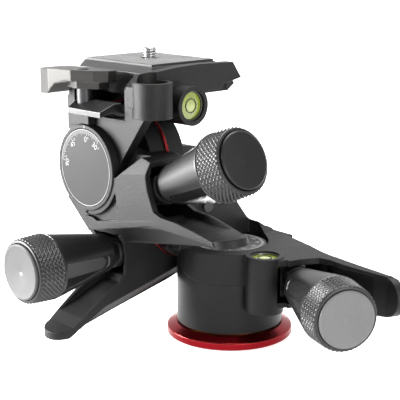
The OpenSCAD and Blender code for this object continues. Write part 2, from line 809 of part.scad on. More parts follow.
module platform() {
    color(body_grey) difference() {
        union() {
            wall_prism(wall_y, wall_y + cheek_t) cheek_outline();
            // Rear cheek: thin plate on the axle, thicker rim at the upper right
            wall_prism(cheek_back, cheek_back + rear_plate_t)
                translate([front_x, front_z]) circle(r = front_ring_r - 0.5, $fn = 128);
            intersection() {
                wall_prism(cheek_back, cheek_back + 9) difference() {
                    translate([front_x, front_z]) circle(r = front_ring_r - 0.5, $fn = 128);
                    translate([front_x, front_z]) circle(r = 24);
                }
                block([front_x, -60, front_z + 1], [0, 0, 130]);
            }
            // Web from the rear cheek up to the tray
            wall_prism(cheek_back, cheek_back + 7)
                polygon([[-62, 100.5], [-62, tray_z], [-12, tray_z], [-12, 105], [-22, 105.6], [-34, 110], [-44, 110.2],
                         [-55, 106]]);
            // Floor of the tray
            block([-66.4, tray_front, 114.6], [-9, 6.5, tray_z]);
            // Right wall with its raised top edge
            translate([-13, 0, 0]) rotate([90, 0, 90]) linear_extrude(5)
                polygon([[wall_y - 1.4, 112], [wall_y - 1.4, 121], [wall_y + 1, 123.4], [-45.8, 126], [-40.5, 126.6], [-26.8, 127.9], [-12.6, 128.4],
                         [9.4, 127.7], [14.8, 120.2], [3.5, 117.9], [0.9, 115.6], [-7, 115.6], [-9.5, 114.4]]);
            translate([-66.4, 0, 0]) rotate([90, 0, 90]) linear_extrude(58)
                polygon([[5.5, 116], [5.5, tray_z], [7.2, 121.6], [8.4, 121.6], [10.5, 117.6], [6, 114.6]]);
            // Low left wall
            block([-69.4, tray_front, 114.6], [-66.3, 8.4, 121.5]);
            // Column between the cheeks, right of the opening
            block([-15.6, wall_y + 1, 106.5], [-8, cheek_back + 2, tray_z]);
            // Left column
            block([-57.2, wall_y + 1, 106], [-52, cheek_back + 2, lever_z[0] - 1.6]);
            // Bosses of the two levels
            translate([top_boss_at.x, top_boss_at.y, top_boss_z[0]]) cylinder(h = top_boss_z[1] - top_boss_z[0], r = bubble_r);
            translate([side_boss_x[0] - 3, side_boss_at.x, side_boss_at.y]) rotate([0, 90, 0])
                cylinder(h = side_boss_x[1] - side_boss_x[0] + 3, r = bubble_r);
            // Block that carries the lever's post
            difference() {
                block([-51.7, pivot.y - 4, shelf_z - 5.2], [-37.5, wall_y + cheek_t, shelf_z]);
                wall_prism(-80, -40) translate([front_x, front_z]) circle(r = boss_r + gap, $fn = 96);
            }
        }
        // Seats of the vials
        translate([top_boss_at.x, top_boss_at.y, top_boss_z[1] - 8]) cylinder(h = 12, r = bubble_r - 2);
        translate([side_boss_x[1] - 6, side_boss_at.x, side_boss_at.y]) rotate([0, 90, 0])
            cylinder(h = 8, r = bubble_r - 2);
        // Seat of the camera plate and the way to its screw
        block([pad_at.x - plate_l / 2 - gap, wall_y - 10, tray_z], [pad_at.x + plate_l / 2 + gap, pad_at.y + plate_w / 2 + gap, 140]);
        translate([pad_at.x, pad_at.y, 90]) cylinder(h = 60, r = 11);
        // Axle and worm wheel
        translate([front_x, front_y, front_z]) rotate([90, 0, 0]) cylinder(h = 60, r = axle_r, center = true);
        translate([pivot.x, pivot.y, shelf_z - 4]) cylinder(h = 30, r = 1.6, $fn = 32);
        translate([window_x[0] - 1.4, catch_at.x, catch_at.y]) rotate([0, 90, 0])
            cylinder(h = window_x[1] - window_x[0] + 2.8, r = 1, $fn = 32);
        // Room for the catch
        block([window_x[0], wall_y - 8, shelf_z], [window_x[1], wall_y + cheek_t + 3.8, tray_z + 1]);
        // Room for the housing's drum and its red ring
        wall_prism(wall_y + cheek_t + eps, cheek_back) translate([front_x, front_z]) circle(r = front_ring_r + gap, $fn = 128);
    }
}

module front_ring() {
    color(red) translate([front_x, front_back, front_z]) rotate([-90, 0, 0]) difference() {
        cylinder(h = ring_t, r = front_ring_r, $fn = 128);
        translate([0, 0, -1]) cylinder(h = 5, r = 20);
    }
}

module front_axle() {
    start = front_y - dial_out + dial_step + gap;
    color(steel) translate([front_x, start, front_z]) rotate([-90, 0, 0])
        cylinder(h = cheek_back + rear_plate_t - start, r = axle_r);
}

module front_worm_wheel() {
    color(brass) front_unit() worm_wheel();
}

module side_vial() {
    color(lime) translate([side_boss_x[1] - 6, side_boss_at.x, side_boss_at.y]) rotate([0, 90, 0])
        cylinder(h = 4.4, r = bubble_r - 2);
}

module top_vial() {
    color(lime) translate([top_boss_at.x, top_boss_at.y, top_boss_z[1] - 8]) cylinder(h = 4.4, r = bubble_r - 2);
}

// Camera plate with bevelled sides
module camera_plate() {
    bevel = plate_border - 0.6;
    color(body_grey) difference() {
        translate([pad_at.x, pad_at.y, 0]) union() {
            block([-plate_l / 2, -plate_w / 2, plate_low], [plate_l / 2, plate_w / 2, plate_top - 3.4]);
            intersection() {
                rotate([90, 0, 0]) linear_extrude(plate_w, center = true)
                    polygon([[-plate_l / 2, plate_top - 4], [plate_l / 2, plate_top - 4], [plate_l / 2, plate_top - 3.2],
                             [pad_l / 2 + 0.6, plate_top], [-pad_l / 2 - 0.6, plate_top], [-plate_l / 2, plate_top - 3.2]]);
                rotate([90, 0, 90]) linear_extrude(plate_l, center = true)
                    polygon([[-plate_w / 2, plate_top - 4], [plate_w / 2, plate_top - 4], [plate_w / 2, plate_top - 3.2],
                             [pad_w / 2 + 0.6, plate_top], [-pad_w / 2 - 0.6, plate_top], [-plate_w / 2, plate_top - 3.2]]);
            }
        }
        translate([pad_at.x, pad_at.y, 100]) cylinder(h = 40, r = screw_r + 0.4);
        translate([pad_at.x, pad_at.y, plate_low - 1]) cylinder(h = 5, r = 10);
    }
}

module plate_pad() {
    color("#8f8f8f") translate([pad_at.x, pad_at.y, 0]) difference() {
        block([-pad_l / 2, -pad_w / 2, plate_top], [pad_l / 2, pad_w / 2, pad_z]);
        translate([0, 0, 100]) cylinder(h = 40, r = screw_r + 0.4);
    }
}

module camera_screw() {
    color(steel) translate([pad_at.x, pad_at.y, 0]) {
        translate([0, 0, plate_low + 0.8]) cylinder(h = 3, r = 9.4);
        translate([0, 0, plate_low + 3.8 - eps]) cylinder(h = pad_z + 0.3 - plate_low - 3.8 + 2 * eps, r = screw_r - 0.7);
        translate([0, 0, pad_z + 0.3]) cylinder(h = 4.9, r = screw_r);
    }
}

// ---------------------------------------------------------------- lever and catch

module lever_pin() {
    color(steel) difference() {
        union() {
            translate([pivot.x, pivot.y, shelf_z - 4]) cylinder(h = 22.6, r = 1.6, $fn = 32);
            translate([pivot.x, pivot.y, shelf_z]) cylinder(h = lever_z[0] - gap - shelf_z, r = 3.6);
        }
        translate([pivot.x - 5, pivot.y - 0.4, shelf_z + 18]) cube([10, 0.8, 2]);
    }
}

// Lever: flat top with a hooked tip, and a lower tier with a pointed nose
module release_lever() {
    color(metal_grey) difference() {
        union() {
            intersection() {
                translate([0, 0, 100]) linear_extrude(40)
                    polygon([[-69, -57.2], [-73.8, -53.4], [-73.8, -49.4], [-58, -45.4], [-44, -42.4], [-37, -40.8],
                             [-31.5, -42], [-32, -46.5], [-36, -52], [-46, -57], [-60, -59.4]]);
                wall_prism(-80, -20)
                    polygon([[-20, lever_z[0] + 3], [-50, lever_z[0] + 3], [-56, lever_z[0] + 1.4], [-61, lever_z[0] - 3.6],
                             [-69, lever_z[0] - 4.4], [-76, lever_z[0] - 1.6], [-76, lever_z[1] - 1.8],
                             [-68, lever_z[1] - 0.6], [-60, lever_z[1]], [-20, lever_z[1]]]);
            }
            translate([0, 0, lever_z[0]]) linear_extrude(3 + eps)
                polygon([[-52, -54.4], [-52, -46], [-40, -42.6], [-34.4, -44], [-34, -50.6], [-43, -56.2]]);
        }
        translate([pivot.x, pivot.y, 100]) cylinder(h = 40, r = 1.6 + run_clear, $fn = 32);
        translate([pivot.x, pivot.y, lever_z[1] - 1]) cylinder(h = 4, r = 2.9);
    }
}

// Safety catch: a thumb plate on its own cross pin
module safety_catch() {
    color("#4a4a4c") difference() {
        union() {
            rotate([90, 0, 90]) translate([0, 0, -49.4]) linear_extrude(26)
                polygon([[-58.4, 106.7], [-58.4, 109], [-57.6, 109.5], [-50, 112.2], [-46.5, 112.2], [catch_at.x + 2.2, 109],
                         [catch_at.x + 2.2, catch_at.y - 2.2], [catch_at.x - 2, catch_at.y - 2.2], [-52, 108.4]]);
        }
        translate([-60, catch_at.x, catch_at.y]) rotate([0, 90, 0]) cylinder(h = 60, r = 1 + run_clear, $fn = 32);
        translate([pivot.x, pivot.y, 100]) cylinder(h = 40, r = 4.6);
        block([pivot.x - 4.6, pivot.y, 100], [pivot.x + 4.6, pivot.y + 20, 116]);
        // Ribs of the thumb grip
        for (i = [0:3])
            translate([-60, -56.6 + i * 1.7, 109.9 + i * 0.6]) rotate([20, 0, 0]) cube([60, 0.7, 2]);
        // Slanted ends
        rotate([0, 0, 24]) block([-100, -60, 100], [-66.2, 60, 120]);
    }
}

module catch_pin() {
    color(steel) translate([window_x[0] - 1.4, catch_at.x, catch_at.y]) rotate([0, 90, 0])
        cylinder(h = window_x[1] - window_x[0] + 2.8, r = 1, $fn = 32);
}

base_ring();
base_plate();
mount_bush();
thrust_washer();
pan_axle();
pan_worm_wheel();
pan_dial();
pan_housing();
pan_skirt();
pan_vial();
pan_hinge_pin();
pan_spring();
lateral_axle();
lateral_worm_wheel();
lateral_dial();
neck_screw();
neck_bush();
pan_worm_carrier();
pan_collar();
pan_worm();
pan_knob_grip();
pan_knob_cap();
tilt_housing();
front_cover();
lateral_cover();
lateral_ring();
lateral_hinge_pin();
lateral_spring();
front_hinge_pin();
front_spring();
front_dial();
lateral_worm_carrier();
lateral_collar();
lateral_worm();
lateral_knob_grip();
lateral_knob_cap();
front_worm_carrier();
front_collar();
front_worm();
front_knob_grip();
front_knob_cap();
platform();
front_ring();
front_axle();
front_worm_wheel();
side_vial();
top_vial();
camera_plate();
plate_pad();
lever_pin();
release_lever();
safety_catch();
catch_pin();
camera_screw();
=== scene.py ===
import json
import math

import bmesh
import bpy
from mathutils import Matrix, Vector


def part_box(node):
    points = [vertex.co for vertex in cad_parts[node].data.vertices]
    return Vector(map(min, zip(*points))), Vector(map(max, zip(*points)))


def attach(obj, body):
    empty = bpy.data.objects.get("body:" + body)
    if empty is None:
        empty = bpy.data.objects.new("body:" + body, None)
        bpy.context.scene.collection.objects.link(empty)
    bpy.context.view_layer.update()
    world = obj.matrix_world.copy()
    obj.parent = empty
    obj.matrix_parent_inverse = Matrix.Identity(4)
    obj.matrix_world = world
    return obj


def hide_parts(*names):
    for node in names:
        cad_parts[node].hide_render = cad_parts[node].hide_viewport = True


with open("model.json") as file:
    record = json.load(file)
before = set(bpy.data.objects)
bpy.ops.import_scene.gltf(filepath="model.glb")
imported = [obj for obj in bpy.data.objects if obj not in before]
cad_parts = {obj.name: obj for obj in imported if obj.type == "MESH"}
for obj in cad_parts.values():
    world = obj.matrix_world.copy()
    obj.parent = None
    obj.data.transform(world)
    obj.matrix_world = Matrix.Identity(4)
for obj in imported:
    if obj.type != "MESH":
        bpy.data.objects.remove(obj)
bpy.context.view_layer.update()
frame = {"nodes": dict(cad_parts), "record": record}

MM = 0.001
TURN = 2 * math.pi
WHITE = (1, 1, 1, 1)
NODES = frame["nodes"]

# ---------------------------------------------------------------- places of the three worm units

# Millimetres between the axes of a wheel and its worm, turn of the pan knob, rise of the front knob.
WORM_OFF = 19.2
PAN_TURN = math.radians(-25.6)
SLOPE = math.radians(21.55)
# Each wheel's centre in millimetres, then three ways: along the knob, from wheel to worm, along the axle.
UNITS = {
    "pan": (Vector((0, 0, 32.4)),
            Vector((math.cos(PAN_TURN), math.sin(PAN_TURN), 0)),
            Vector((-math.sin(PAN_TURN), math.cos(PAN_TURN), 0)),
            Vector((0, 0, 1))),
    "lateral": (Vector((-29, -10.5, 62.3)),
                Vector((0, -1, 0)),
                Vector((0, 0, -1)),
                Vector((-1, 0, 0))),
    "front": (Vector((-39.4, -42.9, 81.5)),
              Vector((math.cos(SLOPE), 0, math.sin(SLOPE))),
              Vector((math.sin(SLOPE), 0, -math.cos(SLOPE))),
              Vector((0, -1, 0))),
}


def at(unit, x, y, z):
    """A point of a unit's own frame, in millimetres, as a place in the scene."""
    centre, along, to_worm, axle = UNITS[unit]
    return (centre + along * x + to_worm * y + axle * z) * MM


# ---------------------------------------------------------------- shader nodes

BEVEL_SAMPLES = 4


def maths(nodes, operation, second=None):
    """A maths node, its second input fixed where a number is given."""
    node = nodes.new("ShaderNodeMath")
    node.operation = operation
    if second is not None:
        node.inputs[1].default_value = second
    return node


def vector_maths(nodes, operation, second=None):
    """A vector maths node, its second input fixed where a vector is given."""
    node = nodes.new("ShaderNodeVectorMath")
    node.operation = operation
    if second is not None:
        node.inputs[1].default_value = second
    return node


def noise(nodes, link, place, scale, detail):
    """Noise over the piece's own coordinates."""
    node = nodes.new("ShaderNodeTexNoise")
    node.inputs["Scale"].default_value = scale
    node.inputs["Detail"].default_value = detail
    link(place, node.inputs["Vector"])
    return node.outputs["Fac"]


def remap(nodes, link, source, ends):
    """A map range node, with the ends that are named set."""
    node = nodes.new("ShaderNodeMapRange")
    for end, value in ends.items():
        node.inputs[end].default_value = value
    link(source, node.inputs["Value"])
    return node.outputs[0]


def colour_mix(nodes, link, share):
    """A colour mix node led by a share."""
    node = nodes.new("ShaderNodeMix")
    node.data_type = "RGBA"
    link(share, node.inputs["Factor"])
    return node


def rounded_normal(nodes, radius):
    """The normal of edges that are rounded by a radius in millimetres."""
    node = nodes.new("ShaderNodeBevel")
    node.samples = BEVEL_SAMPLES
    node.inputs["Radius"].default_value = radius * MM
    return node.outputs[0]


def seen_rays(nodes, link):
    """One for rays from the camera, off a gloss or through glass, nought for the rest."""
    path = nodes.new("ShaderNodeLightPath")
    camera_or_gloss = maths(nodes, "MAXIMUM")
    or_glass = maths(nodes, "MAXIMUM")
    link(path.outputs["Is Camera Ray"], camera_or_gloss.inputs[0])
    link(path.outputs["Is Glossy Ray"], camera_or_gloss.inputs[1])
    link(camera_or_gloss.outputs[0], or_glass.inputs[0])
    link(path.outputs["Is Transmission Ray"], or_glass.inputs[1])
    return or_glass.outputs[0]


# ---------------------------------------------------------------- materials

FINE_DETAIL = 3
BROAD_DETAIL, BROAD_SCALE = 4, 45.0
NOISE_LOW, NOISE_HIGH = 0.36, 0.64
ROUGH_SWING, LEAST_ROUGH = 0.08, 0.02
COAT_ROUGH = 0.12
BUMP_GAIN = 10
# Radius of the rounded edges that take a lighter colour, partly real wear and partly a painted highlight
# along the edges, in millimetres, and the cosines at which it starts and is full.
WEAR_AND_SHEEN_RADIUS = 0.5
WEAR_AND_SHEEN_START, WEAR_AND_SHEEN_FULL = 0.995, 0.86
# Radians per metre of the turned rings, and the radius in millimetres inside which there are none.
RING_SCALE = 9000
RING_CENTRE = 1.2


def material(name, colour, rough, *, tone, grain, depth, edge, metal=0.0, spec=0.5, coat=0.0,
             wear_and_sheen_colour=None, wear_and_sheen=0.0, aniso=0.0, height=None):
    """Colour, roughness and bump from noise at two scales, with softened edges and an optional lighter colour
    on rounded edges, partly real wear and partly a painted highlight.

    tone is the swing of the colour, grain the scale of the fine noise, depth the bump's height in
    BUMP_GAIN millimetres, edge the radius of the softened edges in millimetres, and wear_and_sheen_colour
    and wear_and_sheen the lighter colour and its share on rounded edges, partly real wear and partly a
    painted highlight along the edges.
    """
    made = bpy.data.materials.new(name)
    made.use_nodes = True
    nodes, link = made.node_tree.nodes, made.node_tree.links.new
    shader = nodes["Principled BSDF"]
    shader.inputs["Metallic"].default_value = metal
    shader.inputs["Specular IOR Level"].default_value = spec
    shader.inputs["Coat Weight"].default_value = coat
    shader.inputs["Coat Roughness"].default_value = COAT_ROUGH
    shader.inputs["Anisotropic"].default_value = aniso

    place = nodes.new("ShaderNodeTexCoord").outputs["Object"]
    fine = noise(nodes, link, place, grain, FINE_DETAIL)
    broad = noise(nodes, link, place, BROAD_SCALE, BROAD_DETAIL)
    half_broad = maths(nodes, "MULTIPLY", 0.5)
    mean = maths(nodes, "MULTIPLY_ADD", 0.5)
    link(broad, half_broad.inputs[0])
    link(fine, mean.inputs[0])
    link(half_broad.outputs[0], mean.inputs[2])

    crisp = remap(nodes, link, mean.outputs[0], {"From Min": NOISE_LOW, "From Max": NOISE_HIGH})
    shade = colour_mix(nodes, link, crisp)
    shade.inputs["A"].default_value = (*[c * (1 - tone) for c in colour], 1)
    shade.inputs["B"].default_value = (*[min(1, c * (1 + tone)) for c in colour], 1)
    colour_out = shade.outputs["Result"]
    # Rounded edges blend towards a lighter colour: partly real edge wear, partly a painted highlight along
    # the edges.
    if wear_and_sheen:
        flatness = vector_maths(nodes, "DOT_PRODUCT")
        link(rounded_normal(nodes, WEAR_AND_SHEEN_RADIUS), flatness.inputs[0])
        link(nodes.new("ShaderNodeNewGeometry").outputs["Normal"], flatness.inputs[1])
        share = remap(nodes, link, flatness.outputs["Value"],
                      {"From Min": WEAR_AND_SHEEN_START, "From Max": WEAR_AND_SHEEN_FULL, "To Max": wear_and_sheen})
        edges = colour_mix(nodes, link, share)
        edges.inputs["B"].default_value = (*wear_and_sheen_colour, 1)
        link(colour_out, edges.inputs["A"])
        colour_out = edges.outputs["Result"]
    link(colour_out, shader.inputs["Base Color"])

    gloss = remap(nodes, link, broad,
                  {"To Min": max(LEAST_ROUGH, rough - ROUGH_SWING), "To Max": rough + ROUGH_SWING})
    link(gloss, shader.inputs["Roughness"])

    bump = nodes.new("ShaderNodeBump")
    bump.inputs["Distance"].default_value = depth * MM * BUMP_GAIN
    bump.inputs["Strength"].default_value = 1.0
    link(height(nodes, link, place) if height else fine, bump.inputs["Height"])
    link(rounded_normal(nodes, edge), bump.inputs["Normal"])
    link(bump.outputs[0], shader.inputs["Normal"])
    return made


def lathe_lines(axis_point, axis):
    """Fine turned rings round an axis, for a machined face."""
    def build(nodes, link, place):
        offset = vector_maths(nodes, "SUBTRACT", axis_point)
        across = vector_maths(nodes, "CROSS_PRODUCT", axis)
        radius = vector_maths(nodes, "LENGTH")
        clear = maths(nodes, "MAXIMUM", RING_CENTRE * MM)
        phase = maths(nodes, "MULTIPLY", RING_SCALE)
        wave = maths(nodes, "SINE")
        link(place, offset.inputs[0])
        link(offset.outputs[0], across.inputs[0])
        link(across.outputs[0], radius.inputs[0])
        link(radius.outputs["Value"], clear.inputs[0])
        link(clear.outputs[0], phase.inputs[0])
        link(phase.outputs[0], wave.inputs[0])
        return wave.outputs[0]
    return build


# The lighter edge colours below are partly real wear and partly a painted highlight along the edges.
housing = material("housing_polymer", (0.0075, 0.0076, 0.0079), 0.42, tone=0.6, grain=2600, depth=0.016,
                   edge=0.9, spec=0.2, wear_and_sheen_colour=(0.06, 0.06, 0.06), wear_and_sheen=0.45)
skirt = material("housing_skirt", (0.0042, 0.0043, 0.0045), 0.36, tone=0.3, grain=2400, depth=0.004,
                 edge=0.4, spec=0.2, wear_and_sheen_colour=(0.06, 0.06, 0.06), wear_and_sheen=0.4)
platform_mat = material("platform_polymer", (0.0065, 0.0066, 0.007), 0.42, tone=0.6, grain=2600,
                        depth=0.016, edge=0.6, spec=0.2, wear_and_sheen_colour=(0.07, 0.07, 0.07), wear_and_sheen=0.5)
knob_metal = material("knob_metal", (0.045, 0.045, 0.046), 0.34, tone=0.1, grain=3000, depth=0.002,
                      edge=0.12, metal=0.85, wear_and_sheen_colour=(0.2, 0.2, 0.2), wear_and_sheen=0.3)
knurl_metal = material("knurl_metal", (0.05, 0.05, 0.051), 0.32, tone=0.15, grain=3000, depth=0.002,
                       edge=0.05, metal=0.85)
edge_black = material("knob_edge", (0.006, 0.006, 0.0063), 0.4, tone=0.2, grain=2600, depth=0.002,
                      edge=0.1, metal=0.2)

# One silver finish in two greys as painted light and shade: the lateral cap, which the key light falls full
# on, is made darker than the pan cap.
CAP_GREY_PAINTED_LIGHT = {"pan": (0.13, 0.13, 0.132), "lateral": (0.06, 0.06, 0.061)}
KNOB_AXIS_AT = 80
cap_rings = {unit: lathe_lines(tuple(at(unit, KNOB_AXIS_AT, WORM_OFF, 0)), tuple(UNITS[unit][1]))
             for unit in UNITS}
silver_caps_painted_light = {unit: material("knob_cap_silver_lit_and_shaded_" + unit, grey, 0.5, tone=0.14, grain=1800, depth=0.0003,
                              edge=0.03, metal=0.3, height=cap_rings[unit])
               for unit, grey in CAP_GREY_PAINTED_LIGHT.items()}
dark_cap = material("knob_cap_dark", (0.006, 0.0061, 0.0066), 0.34, tone=0.12, grain=1800, depth=0.0003,
                    edge=0.3, spec=0.25, height=cap_rings["front"])

dial_mat = material("dial_face", (0.008, 0.0081, 0.0084), 0.5, tone=0.25, grain=2600, depth=0.004,
                    edge=0.15, spec=0.2)
pan_dial_mat = material("dial_face_light", (0.075, 0.075, 0.075), 0.4, tone=0.1, grain=2600, depth=0.003,
                        edge=0.15, metal=0.5)
mark_white = material("mark_white", (0.25, 0.25, 0.25), 0.5, tone=0.06, grain=4000, depth=0.001, edge=0.02)
bright_mark = material("mark_bright", (0.5, 0.5, 0.5), 0.5, tone=0.06, grain=4000, depth=0.001, edge=0.02)

red_metal = material("red_anodised", (0.25, 0.005, 0.01), 0.22, tone=0.1, grain=3000, depth=0.0015,
                     edge=0.35, metal=0.9, wear_and_sheen_colour=(0.8, 0.25, 0.2), wear_and_sheen=0.35, aniso=0.3)
steel = material("bright_steel", (0.34, 0.34, 0.345), 0.32, tone=0.08, grain=3500, depth=0.002,
                 edge=0.15, metal=1.0)
dark_steel = material("dark_steel", (0.05, 0.05, 0.052), 0.38, tone=0.15, grain=3000, depth=0.002,
                      edge=0.15, metal=0.8)
brass = material("worm_brass", (0.55, 0.36, 0.13), 0.32, tone=0.1, grain=3000, depth=0.002,
                 edge=0.1, metal=1.0)
rubber = material("collar_rubber", (0.005, 0.005, 0.0055), 0.5, tone=0.25, grain=2200, depth=0.005, edge=0.4)
lever_metal = material("lever_metal", (0.03, 0.0285, 0.027), 0.32, tone=0.1, grain=2600, depth=0.003,
                       edge=0.9, metal=0.6, wear_and_sheen_colour=(0.3, 0.28, 0.25), wear_and_sheen=0.35)
plate_metal = material("plate_metal", (0.012, 0.0121, 0.0125), 0.36, tone=0.2, grain=2600, depth=0.003,
                       edge=0.3, metal=0.1, wear_and_sheen_colour=(0.16, 0.16, 0.16), wear_and_sheen=0.5)
pad_rubber = material("pad_rubber", (0.02, 0.02, 0.02), 0.55, tone=0.25, grain=2000, depth=0.004, edge=0.15)
# The studs are the pad's own dark rubber; their pale grey is a painted highlight for the light that catches
# their tops.
stud_rubber_painted_highlight = material("pad_stud_rubber_painted_highlight", (0.3, 0.3, 0.297), 0.5, tone=0.2, grain=2000, depth=0.003,
                       edge=0.05)
catch_mat = material("catch_metal", (0.018, 0.0182, 0.0186), 0.34, tone=0.12, grain=2600, depth=0.003,
                     edge=0.35, metal=0.4, wear_and_sheen_colour=(0.5, 0.5, 0.5), wear_and_sheen=0.4)

vial_body = material("vial_liquid", (0.26, 0.32, 0.03), 0.12, tone=0.12, grain=300, depth=0.0,
                     edge=0.1, spec=0.6, coat=0.9)
vial_bubble = material("vial_bubble", (0.42, 0.48, 0.13), 0.06, tone=0.08, grain=500, depth=0.0,
                       edge=0.1, spec=0.7, coat=1.0)
vial_ring = material("vial_ring", (0.02, 0.025, 0.01), 0.3, tone=0.1, grain=900, depth=0.0, edge=0.02)

BY_SLOT = {
    "housing": housing, "knob": knob_metal, "knob_cap": silver_caps_painted_light["pan"], "dark_cap": dark_cap,
    "dial": dial_mat, "red_anodised": red_metal, "steel": steel, "brass": brass, "collar": rubber,
    "vial": vial_body, "pad": pad_rubber, "plate": plate_metal, "lever": lever_metal, "carrier": dark_steel,
}
BY_NODE = {
    "lateral_knob_cap": silver_caps_painted_light["lateral"], "pan_skirt": skirt, "platform": platform_mat,
    "safety_catch": catch_mat, "pan_dial": pan_dial_mat, "lever_pin": dark_steel, "catch_pin": dark_steel,
    "neck_screw": dark_steel, "pan_worm": dark_steel, "lateral_worm": dark_steel, "front_worm": dark_steel,
}
slot_of = {s["node"]: s["material_slot"] for s in frame["record"]["subparts"]}
for name, obj in NODES.items():
    finish = BY_NODE.get(name) or BY_SLOT.get(slot_of.get(name), housing)
    if not obj.material_slots:
        obj.data.materials.append(finish)
    for s in obj.material_slots:
        s.material = finish


# ---------------------------------------------------------------- making pieces

def piece(name, points, faces, mats, body, flat=(), sharp=35):
    """A mesh from points in metres; each face is its corners and a material index.

    flat holds the material indexes that aren't shaded smooth, sharp the angle of a sharp edge.
    """
    mesh = bpy.data.meshes.new(name)
    mesh.from_pydata([tuple(p) for p in points], [], [corners for corners, _ in faces])
    for mat in mats:
        mesh.materials.append(mat)
    for polygon, (_, index) in zip(mesh.polygons, faces):
        polygon.material_index = index
        polygon.use_smooth = index not in flat
    shell = bmesh.new()
    shell.from_mesh(mesh)
    bmesh.ops.recalc_face_normals(shell, faces=shell.faces)
    shell.to_mesh(mesh)
    shell.free()
    mesh.set_sharp_from_angle(angle=math.radians(sharp))
    obj = bpy.data.objects.new(name, mesh)
    bpy.context.scene.collection.objects.link(obj)
    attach(obj, body)
    return obj


def angles(count):
    """Equal steps round a full turn."""
    return [TURN * i / count for i in range(count)]


def rings_mesh(rings, index_of=lambda i: 0, close_end=True):
    """Faces between closed rings of the same count, and one over the start and the end."""
    count = len(rings[0])
    last = len(rings) - 1
    points = [p for ring in rings for p in ring]
    faces = []
    for i in range(last):
        for j in range(count):
            a, b = i * count + j, i * count + (j + 1) % count
            faces.append(((a, b, b + count, a + count), index_of(i)))
    faces.append((tuple(range(count)), index_of(0)))
    if close_end:
        faces.append((tuple(range(last * count, (last + 1) * count)), index_of(last - 1)))
    return points, faces


def turned(name, centre, axis, profile, mat, body, count):
    """A piece turned about an axis from (along, radius) steps, in millimetres."""
    axis = Vector(axis).normalized()
    side = axis.orthogonal().normalized()
    other = axis.cross(side)
    centre = Vector(centre)
    rings = []
    for along, radius in profile:
        rings.append([(centre + axis * along + (side * math.cos(a) + other * math.sin(a)) * radius) * MM
                      for a in angles(count)])
    points, faces = rings_mesh(rings)
    return piece(name, points, faces, [mat], body)


def smooth_step(a, b, v):
    """Rises smoothly from nought at a to one at b."""
    t = min(1.0, max(0.0, (v - a) / (b - a)))
    return t * t * (3 - 2 * t)


# ---------------------------------------------------------------- knobs

# Places along a knob, measured from the wheel's axle, and radii round the knob's axis, in millimetres.
ROOT_X, ROOT_R, ROOT_CHAMFER = 42.0, 8.9, 1.4
RIM_X, RIM_R = 75.55, 15.1
GRIP_END, FACE_R = 88.25, 14.0
BAND_START, BAND_END, BAND_TAPER = 76.1, 87.3, 0.55
BAND_ROWS = 48
AROUND = 336

CONE_START, CONE_END = ROOT_X + 2.2, BAND_START - 1.0
COARSE_START, COARSE_END = ROOT_X + 9, BAND_START - 4
COARSE_STEP, FINE_STEP = 0.6, 0.3

# The three flats: middles in degrees, half a flat's reach in radians, then lengths in millimetres.
FLUTES = (40, 160, 280)
FLUTE_REACH = 1.2
FLUTE_START, FLUTE_END = ROOT_X + 4.6, BAND_START - 1.6
FLUTE_HALF, FLUTE_WIDENS, FLUTE_ROUND = 2.9, 3.3, 2.2
FLUTE_WALL_IN, FLUTE_WALL_OUT = 0.75, 0.15
FLUTE_RAMP_IN, FLUTE_RAMP_OUT = 0.9, 0.8
FLUTE_AT, FLUTE_SINK, FLUTE_RISE, FLUTE_LEAST = 9.4, 0.1, 0.25, 0.45

KNURLS, KNURL_STEP, KNURL_DEPTH, KNURL_WIDEN = 42, 2.1, 0.62, 1.35

# What a step of the knob's profile is, and the material of the surface that it bounds.
PLAIN, FLUTED, KNURLED, FACE = range(4)
MATERIAL_OF = {PLAIN: 0, FLUTED: 0, KNURLED: 1, FACE: 2}


def cone_r(x):
    """Radius of the tapered grip at a distance along the knob."""
    return ROOT_R + (RIM_R - ROOT_R) * (x - ROOT_X - ROOT_CHAMFER) / (RIM_X - ROOT_X - ROOT_CHAMFER)


def flute_r(x, angle, radius):
    """Radius inside one of three flats with a rounded root end and a wall at the band."""
    if not FLUTE_START < x < FLUTE_END:
        return radius
    depth = 0.0
    u = (x - FLUTE_START) / (FLUTE_END - FLUTE_START)
    for middle in FLUTES:
        a = (angle - math.radians(middle) + math.pi) % TURN - math.pi
        if abs(a) > FLUTE_REACH:
            continue
        across = abs(radius * math.sin(a))
        half = FLUTE_HALF + FLUTE_WIDENS * u
        round_in = min(1.0, (x - FLUTE_START) / FLUTE_ROUND)
        half *= math.sqrt(max(0.0, 1 - (1 - round_in) ** 2))
        inside = 1 - smooth_step(half - FLUTE_WALL_IN, half + FLUTE_WALL_OUT, across)
        ramps = smooth_step(0, FLUTE_RAMP_IN, x - FLUTE_START) * smooth_step(0, FLUTE_RAMP_OUT, FLUTE_END - x)
        inside *= ramps
        floor_r = min(radius, FLUTE_AT / math.cos(a) - FLUTE_SINK + FLUTE_RISE * (1 - u))
        depth = max(depth, inside * max(FLUTE_LEAST, radius - floor_r))
    return radius - depth


def knurl_r(x, angle, radius):
    """Radius on crossed helical grooves, lozenges between them."""
    turn = KNURLS * angle / TURN
    row = x / KNURL_STEP
    a = (turn + row) % 1.0
    b = (turn - row) % 1.0
    peak = min(1 - abs(2 * a - 1), 1 - abs(2 * b - 1))
    return radius - KNURL_DEPTH * (1 - min(1.0, peak * KNURL_WIDEN))


